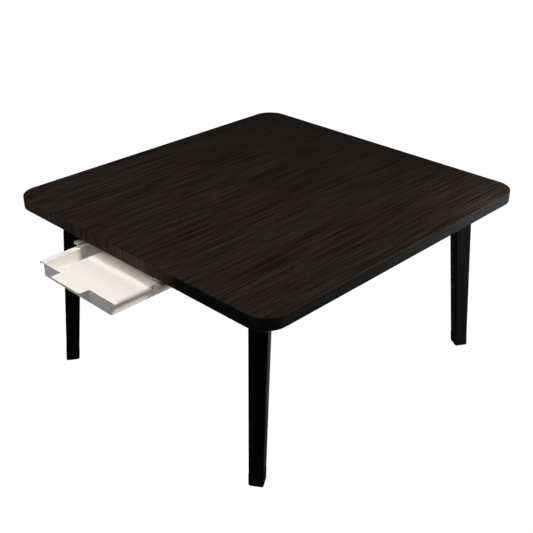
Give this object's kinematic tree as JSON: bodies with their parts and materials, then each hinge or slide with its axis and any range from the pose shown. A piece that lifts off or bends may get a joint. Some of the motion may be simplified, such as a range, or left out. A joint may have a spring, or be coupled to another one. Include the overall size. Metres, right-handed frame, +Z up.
{
  "type": "kotatsu table",
  "caption": "Low square heated table with a dark wood-grain top, rounded corners, splayed tapered black legs and a shallow cream drawer pulled out under the front edge.",
  "frame": {"origin": "on the floor, under the middle of the whole footprint with the drawer pulled out as stored; the board's own middle is 52.85 mm behind it", "axes": "+Z up from the floor; -Y is the drawer side, where a person sits; +X is to that person's right"},
  "size_m": [0.722, 0.8558, 0.393],
  "materials": {
    "board_laminate": "dark wenge grain laminate, satin",
    "edge_band": "dark wenge grain edge band, satin",
    "felt": "dark felt",
    "frame_wood": "dark stained board",
    "dowel_wood": "bare beech",
    "leg_paint": "black satin paint on wood",
    "foot_rubber": "black moulded",
    "bracket_paint": "black powder coat on pressed steel",
    "zinc_steel": "bright zinc plate",
    "nickel_plate": "nickel plate, bright",
    "pan_steel": "coated pressed sheet",
    "reflector_steel": "polished sheet",
    "guard_paint": "black heat-proof coat",
    "black_moulding": "fine texture",
    "quartz": "frosted quartz tube",
    "ceramic": "unglazed ceramic",
    "cream_moulding": "cream moulded plastic, satin"
  },
  "bodies": {
    "frame": {"board_pads": "felt", "frame_front": "frame_wood", "frame_rear": "frame_wood", "frame_left": "frame_wood", "frame_right": "frame_wood", "crossbar_front": "frame_wood", "crossbar_rear": "frame_wood", "frame_dowels": "dowel_wood", "hanger_bolts": "zinc_steel", "bolt_washers": "zinc_steel", "bolt_nuts": "zinc_steel", "bracket_screws": "zinc_steel", "heater_screws": "zinc_steel", "guard_screws": "zinc_steel", "slide_screws": "zinc_steel", "heater_pan": "pan_steel", "heater_reflector": "reflector_steel", "heater_guard": "guard_paint", "thermostat": "black_moulding", "cord_inlet": "black_moulding", "inlet_pins": "nickel_plate", "heating_tube_front": "quartz", "heating_tube_rear": "quartz", "tube_holder_left": "ceramic", "tube_holder_right": "ceramic", "slide_left": "cream_moulding", "slide_right": "cream_moulding", "leg_front_left": "leg_paint", "foot_cap_front_left": "foot_rubber", "leg_bracket_front_left": "bracket_paint", "leg_front_right": "leg_paint", "foot_cap_front_right": "foot_rubber", "leg_bracket_front_right": "bracket_paint", "leg_rear_left": "leg_paint", "foot_cap_rear_left": "foot_rubber", "leg_bracket_rear_left": "bracket_paint", "leg_rear_right": "leg_paint", "foot_cap_rear_right": "foot_rubber", "leg_bracket_rear_right": "bracket_paint"},
    "board": {"board_core": "board_laminate", "edge_band": "edge_band"},
    "tray": {"drawer_tray": "cream_moulding"},
    "cover": {"drawer_cover": "cream_moulding"}
  },
  "joints": [
    {"name": "board_lift", "type": "slide", "parent": "frame", "child": "board", "axis": [0, 0, 1], "range_m": [0, 0.12]},
    {"name": "drawer_slide", "type": "slide", "parent": "frame", "child": "tray", "axis": [0, -1, 0], "range_m": [-0.1077, 0.054]},
    {"name": "cover_slide", "type": "slide", "parent": "tray", "child": "cover", "axis": [0, -1, 0], "range_m": [0, 0.12]}
  ]
}
